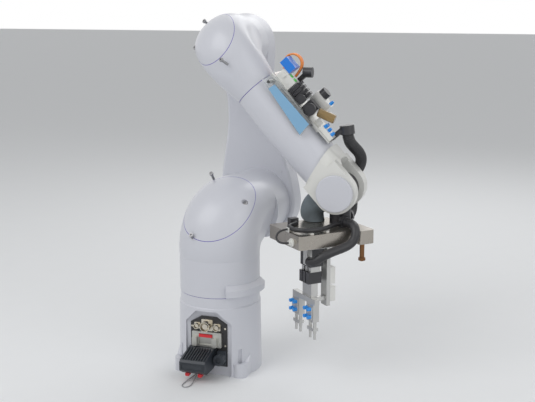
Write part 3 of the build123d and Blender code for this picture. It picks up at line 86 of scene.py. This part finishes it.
CLAMP_POINT = forearm_point(430, 9, 128)
EARTH_ROUTE = [row_point(*p) for p in (
    (-22, -150, 26), (-22, -150, 18), (-21.5, -156, 10), (-21, -168, 5.4),
    (-20, -182, 3), (-19, -197, 1.9), (-20, -211, 1.8), (-27, -220, 1.8),
    (-37, -220, 1.8), (-44, -210, 1.8), (-45, -195, 1.9), (-43, -175, 2.6),
    (-38, -155, 4.5), (-32, -135, 7.4), (-27, -118, 9.6), (-26, -108, 10), (-26, -101, 10),
)]
DRESS_ROUTE = [
    CLAMP_POINT, CLAMP_POINT + CLAMP_WAY * 0.030, forearm_point(478, 36, 103),
    forearm_point(499, 66, 97), forearm_point(517, 93, 84), forearm_point(532, 108, 62),
    row_point(379, 160, 592), row_point(375, 161, 558), row_point(374, 161, 530),
    row_point(374, 160, 506), row_point(374, 151, 487), row_point(374, 133, 477),
    row_point(374, 112, 477),
]
LOOP_ROUTE = [tool_point(*p) for p in (
    (178, 42, 480.5), (178, 24, 480.5), (177, 5, 482), (174, -13, 475), (170, -22, 459),
    (163, -23, 442), (148, -22, 430), (126, -21, 423), (102, -20, 418), (78, -18, 411),
    (60, -12, 401), (50, -3, 391), (46, 9, 384), (46, 28, 384),
)]
TOP_ROUTE = [tool_point(*p) for p in (
    (164, 52, 476), (147, 52, 476), (126, 40, 476), (100, 24, 476), (72, 16, 476),
    (46, 17, 476), (24, 28, 476), (12, 48, 476), (9, 70, 476), (16, 92, 476),
    (34, 105, 476), (57, 112, 476), (57, 130, 476),
)]
SENSOR_ROUTE = [tool_point(*p) for p in (
    (-1, 70, 474), (-11, 70, 474), (-22, 75, 470), (-31, 77, 462), (-36, 73, 453),
    (-37, 64, 446), (-33, 53, 442), (-23, 44, 441), (-12, 44, 441),
)]


def orange_route(side):
    """One of the three tubes that arch over the manifold, at its place across the deck."""
    deck = DECK_TOP * 1000
    return [forearm_point(*p) for p in (
        (176, side, deck), (176, side, deck + 12), (168, side - 1, 104), (157, side - 2, 116),
        (151, side - 3, 127), (151, side - 4, 138), (158, side - 3, 150),
        (171, side - 1, 156), (186, side + 1, 155), (199, side + 2, 146),
        (206, side + 2, 130), (210, side + 1, 112), (212, side, 95), (212, side, deck),
    )]


class ArmFinishes(bpy.types.PropertyGroup):
    """Colours of the arm's main finishes."""
    paint: bpy.props.FloatVectorProperty(
        name="Casting paint", description="Satin paint of the castings", subtype="COLOR",
        default=(0.62, 0.63, 0.68))
    fork: bpy.props.FloatVectorProperty(
        name="Fork paint", description="Warmer paint of the wrist fork", subtype="COLOR",
        default=(0.72, 0.72, 0.69))
    seal: bpy.props.FloatVectorProperty(
        name="Seals", description="Coloured rings and seams", subtype="COLOR",
        default=(0.13, 0.10, 0.42))
    frame_metal: bpy.props.FloatVectorProperty(
        name="Tool metal", description="Milled metal of the tool's frame", subtype="COLOR",
        default=(0.42, 0.39, 0.35))


class ArmSizes(bpy.types.PropertyGroup):
    """Sizes of the hoses and the stage."""
    dress_diameter: bpy.props.FloatProperty(
        name="Dress hose", description="Outer diameter of the corrugated hose",
        default=0.033, unit="LENGTH")
    rib_pitch: bpy.props.FloatProperty(
        name="Rib pitch", description="Distance from rib to rib of the corrugated hose",
        default=0.0046, unit="LENGTH")
    rib_depth: bpy.props.FloatProperty(
        name="Rib depth", description="Depth of a groove as a share of the hose's radius",
        default=0.09, subtype="FACTOR")
    floor_size: bpy.props.FloatProperty(
        name="Floor", description="Side of the floor", default=60.0, unit="LENGTH")


def finish(name, colour, roughness, metallic=0.0, grain=220.0, change=0.06, relief=0.00008,
           coat=0.0, see_through=0.0):
    """A procedural finish: two close shades by noise, uneven gloss and a fine relief."""
    material = bpy.data.materials.new(name)
    material.use_nodes = True
    nodes, links = material.node_tree.nodes, material.node_tree.links
    shader = nodes["Principled BSDF"]
    shader.inputs["Metallic"].default_value = metallic
    shader.inputs["Coat Weight"].default_value = coat
    shader.inputs["Transmission Weight"].default_value = see_through
    place = nodes.new("ShaderNodeTexCoord")
    cloud = nodes.new("ShaderNodeTexNoise")
    cloud.inputs["Scale"].default_value = grain / 18
    cloud.inputs["Detail"].default_value = 4
    speck = nodes.new("ShaderNodeTexNoise")
    speck.inputs["Scale"].default_value = grain * 5
    shades = nodes.new("ShaderNodeMix")
    shades.data_type = "RGBA"
    shades.inputs["A"].default_value = (*[c * (1 - change) for c in colour], 1)
    shades.inputs["B"].default_value = (*[min(1, c * (1 + change)) for c in colour], 1)
    gloss = nodes.new("ShaderNodeMapRange")
    gloss.inputs["To Min"].default_value = max(0.02, roughness - 0.06)
    gloss.inputs["To Max"].default_value = min(1, roughness + 0.06)
    bump = nodes.new("ShaderNodeBump")
    bump.inputs["Distance"].default_value = relief
    for texture in (cloud, speck):
        links.new(place.outputs["Object"], texture.inputs["Vector"])
    links.new(cloud.outputs["Fac"], shades.inputs["Factor"])
    links.new(shades.outputs["Result"], shader.inputs["Base Color"])
    links.new(cloud.outputs["Fac"], gloss.inputs["Value"])
    links.new(gloss.outputs["Result"], shader.inputs["Roughness"])
    links.new(speck.outputs["Fac"], bump.inputs["Height"])
    links.new(bump.outputs["Normal"], shader.inputs["Normal"])
    return material


def dress(material, *names):
    """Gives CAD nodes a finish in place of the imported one."""
    for name in names:
        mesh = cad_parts[name].data
        mesh.materials.clear()
        mesh.materials.append(material)


def route_curve(name, route):
    """The smooth line of a hose: one open NURBS spline with the route as control points."""
    curve = bpy.data.curves.new(name, "CURVE")
    curve.dimensions = "3D"
    curve.resolution_u = 6
    curve.use_fill_caps = True
    spline = curve.splines.new("NURBS")
    spline.points.add(len(route) - 1)
    for point, place in zip(spline.points, route):
        point.co = (*place, 1)
    spline.order_u = 3
    spline.use_endpoint_u = True
    piece = bpy.data.objects.new(name, curve)
    bpy.context.scene.collection.objects.link(piece)
    return piece


def route_points(piece):
    """Points along a route's smooth line, and its length."""
    bpy.context.view_layer.update()
    evaluated = piece.evaluated_get(bpy.context.evaluated_depsgraph_get())
    line = bpy.data.meshes.new_from_object(evaluated)
    points = [v.co.copy() for v in line.vertices]
    bpy.data.meshes.remove(line)
    return points, sum((b - a).length for a, b in zip(points, points[1:]))


def cable(name, route, diameter, material, body, node):
    """A plain round cable that stands for its CAD node."""
    piece = route_curve(name, route)
    points, length = route_points(piece)
    piece.data.bevel_depth = diameter / 2
    piece.data.bevel_resolution = 6
    piece.data.materials.append(material)
    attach(piece, body)
    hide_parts(node)
    return piece


def corrugated_tree(material):
    """Nodes that sweep a ring along a route and narrow it between the ribs."""
    tree = bpy.data.node_groups.new("Corrugated hose", "GeometryNodeTree")
    tree.interface.new_socket("Geometry", in_out="INPUT", socket_type="NodeSocketGeometry")
    for name in ("Rib Pitch", "Rib Depth", "Hose Radius"):
        tree.interface.new_socket(name, in_out="INPUT", socket_type="NodeSocketFloat")
    tree.interface.new_socket("Geometry", in_out="OUTPUT", socket_type="NodeSocketGeometry")
    nodes, links = tree.nodes, tree.links
    given, made = nodes.new("NodeGroupInput"), nodes.new("NodeGroupOutput")
    quarter = nodes.new("ShaderNodeMath")
    quarter.operation = "DIVIDE"
    quarter.inputs[1].default_value = 4
    steps = nodes.new("GeometryNodeResampleCurve")
    steps.mode = "LENGTH"
    index = nodes.new("GeometryNodeInputIndex")
    phase = nodes.new("ShaderNodeMath")
    phase.operation = "MULTIPLY"
    phase.inputs[1].default_value = radians(90)
    wave = nodes.new("ShaderNodeMath")
    wave.operation = "COSINE"
    depth = nodes.new("ShaderNodeMath")
    depth.operation = "MULTIPLY"
    width = nodes.new("ShaderNodeMath")
    width.operation = "MULTIPLY_ADD"
    width.inputs[1].default_value = 0.5
    width.inputs[2].default_value = 1.0
    narrow = nodes.new("GeometryNodeSetCurveRadius")
    ring = nodes.new("GeometryNodeCurvePrimitiveCircle")
    ring.inputs["Resolution"].default_value = 28
    sweep = nodes.new("GeometryNodeCurveToMesh")
    sweep.inputs["Fill Caps"].default_value = True
    plain = nodes.new("GeometryNodeRealizeInstances")
    colour = nodes.new("GeometryNodeSetMaterial")
    colour.inputs["Material"].default_value = material
    links.new(given.outputs["Rib Pitch"], quarter.inputs[0])
    links.new(given.outputs["Geometry"], steps.inputs["Curve"])
    links.new(quarter.outputs[0], steps.inputs["Length"])
    links.new(index.outputs[0], phase.inputs[0])
    links.new(phase.outputs[0], wave.inputs[0])
    links.new(wave.outputs[0], depth.inputs[0])
    links.new(given.outputs["Rib Depth"], depth.inputs[1])
    links.new(depth.outputs[0], width.inputs[0])
    links.new(steps.outputs["Curve"], narrow.inputs["Curve"])
    links.new(width.outputs[0], narrow.inputs["Radius"])
    links.new(given.outputs["Hose Radius"], ring.inputs["Radius"])
    links.new(narrow.outputs[0], sweep.inputs["Curve"])
    links.new(ring.outputs[0], sweep.inputs["Profile Curve"])
    if "Scale" in sweep.inputs:
        links.new(width.outputs[0], sweep.inputs["Scale"])
    links.new(sweep.outputs[0], plain.inputs[0])
    links.new(plain.outputs[0], colour.inputs["Geometry"])
    links.new(colour.outputs[0], made.inputs["Geometry"])
    return tree


def socket_of(tree, name):
    """Identifier of a tree's named input."""
    return next(s.identifier for s in tree.interface.items_tree
                if s.name == name and s.in_out == "INPUT")


class ARM_OT_stage(bpy.types.Operator):
    """Camera at the photograph's viewing angle, pale floor and soft studio light"""
    bl_idname = "robot_arm.stage"
    bl_label = "Stage"

    def execute(self, context):
        scene = context.scene
        scene.view_settings.view_transform = "Standard"
        lens = bpy.data.cameras.new("Camera")
        lens.lens = 65.08
        lens.sensor_width = 36.0
        camera = bpy.data.objects.new("Camera", lens)
        camera.location = (1.0217, -2.6747, 1.1139)
        camera.rotation_mode = "QUATERNION"
        camera.rotation_quaternion = Vector((-0.3025, 0.931, -0.2045)).to_track_quat("-Z", "Y")
        scene.collection.objects.link(camera)
        scene.camera = camera

        half = scene.robot_sizes.floor_size / 2
        mesh = bpy.data.meshes.new("floor")
        mesh.from_pydata([(-half, -half, 0), (half, -half, 0), (half, half, 0), (-half, half, 0)],
                         [], [(0, 1, 2, 3)])
        floor = bpy.data.objects.new("floor", mesh)
        mesh.materials.append(finish("Floor", (0.86, 0.87, 0.88), 0.9, change=0.01, relief=0))
        scene.collection.objects.link(floor)

        for name, place, size, power in (
            ("Key", (-1.6, -2.6, 3.2), 2.6, 52),
            ("Fill", (2.8, -1.6, 1.9), 2.4, 20),
            ("Rim", (0.4, 2.6, 2.8), 2.2, 26),
        ):
            light = bpy.data.lights.new(name, "AREA")
            light.size = size
            light.energy = power
            lamp = bpy.data.objects.new(name, light)
            lamp.location = place
            lamp.rotation_mode = "QUATERNION"
            lamp.rotation_quaternion = (Vector((0.15, 0, 0.55)) - lamp.location).to_track_quat(
                "-Z", "Y")
            scene.collection.objects.link(lamp)

        world = bpy.data.worlds.new("Studio")
        world.use_nodes = True
        scene.world = world
        nodes, links = world.node_tree.nodes, world.node_tree.links
        soft = nodes["Background"]
        soft.inputs["Color"].default_value = (0.98, 0.99, 1.0, 1)
        soft.inputs["Strength"].default_value = 0.48
        seen = nodes.new("ShaderNodeBackground")
        seen.inputs["Color"].default_value = (1, 1, 1, 1)
        path = nodes.new("ShaderNodeLightPath")
        seen_rays = path.outputs["Is Camera Ray"]
        for ray in ("Is Glossy Ray", "Is Transmission Ray"):
            either = nodes.new("ShaderNodeMath")
            either.operation = "MAXIMUM"
            links.new(seen_rays, either.inputs[0])
            links.new(path.outputs[ray], either.inputs[1])
            seen_rays = either.outputs[0]
        mix = nodes.new("ShaderNodeMixShader")
        links.new(seen_rays, mix.inputs[0])
        links.new(soft.outputs[0], mix.inputs[1])
        links.new(seen.outputs[0], mix.inputs[2])
        links.new(mix.outputs[0], nodes["World Output"].inputs["Surface"])
        return {"FINISHED"}


class ARM_OT_cords(bpy.types.Operator):
    """Hoses and cables along their routes"""
    bl_idname = "robot_arm.cords"
    bl_label = "Hoses and cables"

    def execute(self, context):
        sizes = context.scene.robot_sizes
        black = finish("Hose rubber", (0.022, 0.022, 0.025), 0.42, change=0.15, relief=0.0001)
        grey = finish("Lead sheath", (0.34, 0.34, 0.35), 0.5)
        orange = finish("Orange tube", (0.90, 0.28, 0.05), 0.3, coat=0.3)
        cable("earth_wire", EARTH_ROUTE, 0.003, grey, "base", "earth_lead")
        cable("tool_loop_hose", LOOP_ROUTE, 0.026, black, "tool", "loop_hose")
        cable("tool_top_cable", TOP_ROUTE, 0.013, black, "tool", "top_cable")
        cable("tool_sensor_cable", SENSOR_ROUTE, 0.006, black, "tool",
              "sensor_cable")
        for i in range(3):
            cable(f"orange_tube_{i}", orange_route(12 + 8 * i), 0.0055, orange, "forearm",
                  "orange_tubes")

        route = route_curve("dress_route", DRESS_ROUTE)
        points, length = route_points(route)
        tree = corrugated_tree(black)
        ribs = route.modifiers.new("Ribs", "NODES")
        ribs.node_group = tree
        ribs[socket_of(tree, "Rib Pitch")] = sizes.rib_pitch
        ribs[socket_of(tree, "Rib Depth")] = sizes.rib_depth
        ribs[socket_of(tree, "Hose Radius")] = sizes.dress_diameter / 2
        context.view_layer.update()
        mesh = bpy.data.meshes.new_from_object(
            route.evaluated_get(context.evaluated_depsgraph_get()))
        bpy.data.objects.remove(route)
        piece = bpy.data.objects.new("corrugated_hose", mesh)
        context.scene.collection.objects.link(piece)
        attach(piece, "forearm")
        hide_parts("dress_hose")
        return {"FINISHED"}


class ARM_OT_castings(bpy.types.Operator):
    """Paint, seals and screws of the castings"""
    bl_idname = "robot_arm.castings"
    bl_label = "Castings"

    def execute(self, context):
        colours = context.scene.robot_finishes
        dress(finish("Casting paint", colours.paint, 0.34, grain=140, change=0.025, coat=0.12),
              "base_casting", "shoulder_casting", "shoulder_cover", "upper_arm_casting",
              "upper_arm_back_cover", "upper_arm_plugs", "elbow_casting", "elbow_cover",
              "forearm_casting", "fork_covers")
        dress(finish("Fork paint", colours.fork, 0.38, grain=140, change=0.025, coat=0.1),
              "wrist_fork")
        dress(finish("Seal", colours.seal, 0.55, change=0.1),
              "j1_seal", "j4_seal", "shoulder_gasket", "elbow_gasket")
        dress(finish("Screw steel", (0.35, 0.35, 0.36), 0.3, metallic=1.0, change=0.1),
              "shoulder_screws", "elbow_screws")
        return {"FINISHED"}


class ARM_OT_drives(bpy.types.Operator):
    """Machined metal of the drives and the wrist"""
    bl_idname = "robot_arm.drives"
    bl_label = "Drives"

    def execute(self, context):
        dress(finish("Drive steel", (0.40, 0.40, 0.41), 0.36, metallic=1.0, change=0.12),
              "j1_drive", "j2_drive", "j3_drive", "j4_drive", "wrist_drives")
        dress(finish("Blackened steel", (0.045, 0.045, 0.05), 0.4, metallic=0.6, change=0.15),
              "wrist_body", "tool_flange")
        dress(finish("Woven sleeve", (0.16, 0.19, 0.21), 0.85, grain=900, change=0.3,
                     relief=0.0006),
              "wrist_sleeve")
        return {"FINISHED"}


class ARM_OT_panel(bpy.types.Operator):
    """Connector panel and its plugs"""
    bl_idname = "robot_arm.panel"
    bl_label = "Connector panel"

    def execute(self, context):
        dress(finish("Panel black", (0.018, 0.018, 0.02), 0.35, change=0.2, coat=0.2),
              "connector_panel")
        dress(finish("Plug plastic", (0.03, 0.036, 0.045), 0.42, change=0.25), "cable_plugs")
        dress(finish("Nickel", (0.62, 0.58, 0.50), 0.22, metallic=1.0, change=0.15),
              "panel_connectors")
        dress(finish("Module metal", (0.52, 0.52, 0.49), 0.36, metallic=0.8, change=0.2),
              "power_module")
        dress(finish("Latch red", (0.75, 0.02, 0.03), 0.35, coat=0.3), "plug_latches")
        return {"FINISHED"}


class ARM_OT_valve_package(bpy.types.Operator):
    """Valve package on the forearm"""
    bl_idname = "robot_arm.valve_package"
    bl_label = "Valve package"

    def execute(self, context):
        dress(finish("Deck metal", (0.60, 0.60, 0.58), 0.38, metallic=0.7, change=0.1),
              "valve_deck")
        dress(finish("Clear shield", (0.90, 0.92, 0.92), 0.12, see_through=0.9, change=0.02),
              "side_shield")
        dress(finish("Pale blue plate", (0.30, 0.58, 0.86), 0.25, see_through=0.25,
                     change=0.05, coat=0.3), "blue_plate")
        dress(finish("White plastic", (0.78, 0.78, 0.75), 0.35, coat=0.15),
              "manifold_blocks", "cable_ties", "tool_sensors")
        dress(finish("Green ring", (0.10, 0.62, 0.10), 0.35), "green_rings")
        dress(finish("Valve black", (0.035, 0.035, 0.04), 0.38, change=0.25, coat=0.15),
              "valve_stack", "pressure_gauges", "hose_clamp", "regulator_knob",
              "gripper_valves", "hose_fittings")
        dress(finish("Coil blue", (0.01, 0.20, 0.72), 0.32, coat=0.3), "coil_block")
        dress(finish("Regulator body", (0.70, 0.70, 0.68), 0.33, metallic=0.2, coat=0.1),
              "regulator_body")
        dress(finish("Amber bowl", (0.34, 0.22, 0.07), 0.18, see_through=0.35, coat=0.4),
              "vacuum_filter")
        dress(finish("Fitting blue", (0.01, 0.28, 0.80), 0.3, coat=0.3),
              "push_fittings", "picker_fittings")
        return {"FINISHED"}


class ARM_OT_tool(bpy.types.Operator):
    """Tool frame, dock pin, gripper and pickers"""
    bl_idname = "robot_arm.tool"
    bl_label = "Tool"

    def execute(self, context):
        metal = context.scene.robot_finishes.frame_metal
        dress(finish("Tool metal", metal, 0.27, metallic=0.9, change=0.22, grain=90),
              "tool_frame")
        dress(finish("Bronze pin", (0.20, 0.10, 0.045), 0.3, metallic=0.9, change=0.3),
              "dock_pin")
        dress(finish("Bracket metal", (0.56, 0.56, 0.55), 0.34, metallic=0.8, change=0.15),
              "gripper_bracket", "picker_bodies", "left_picker", "right_picker")
        return {"FINISHED"}


class ARM_PT_panel(bpy.types.Panel):
    """The arm's sizes, colours and pieces"""
    bl_idname = "ARM_PT_panel"
    bl_label = "Robot arm"
    bl_space_type = "VIEW_3D"
    bl_region_type = "UI"
    bl_category = "Robot arm"

    def draw(self, context):
        for group in (context.scene.robot_finishes, context.scene.robot_sizes):
            for name in group.__annotations__:
                self.layout.prop(group, name)
        for operator in OPERATORS:
            self.layout.operator(operator.bl_idname)


OPERATORS = (ARM_OT_stage, ARM_OT_cords, ARM_OT_castings, ARM_OT_drives, ARM_OT_panel,
             ARM_OT_valve_package, ARM_OT_tool)
CLASSES = (ArmFinishes, ArmSizes, *OPERATORS, ARM_PT_panel)


def register():
    for entry in CLASSES:
        bpy.utils.register_class(entry)
    bpy.types.Scene.robot_finishes = bpy.props.PointerProperty(type=ArmFinishes)
    bpy.types.Scene.robot_sizes = bpy.props.PointerProperty(type=ArmSizes)


def unregister():
    del bpy.types.Scene.robot_sizes
    del bpy.types.Scene.robot_finishes
    for entry in reversed(CLASSES):
        bpy.utils.unregister_class(entry)


def main():
    register()
    bpy.ops.robot_arm.stage()
    bpy.ops.robot_arm.cords()
    bpy.ops.robot_arm.castings()
    bpy.ops.robot_arm.drives()
    bpy.ops.robot_arm.panel()
    bpy.ops.robot_arm.valve_package()
    bpy.ops.robot_arm.tool()


if __name__ == "__main__":
    main()
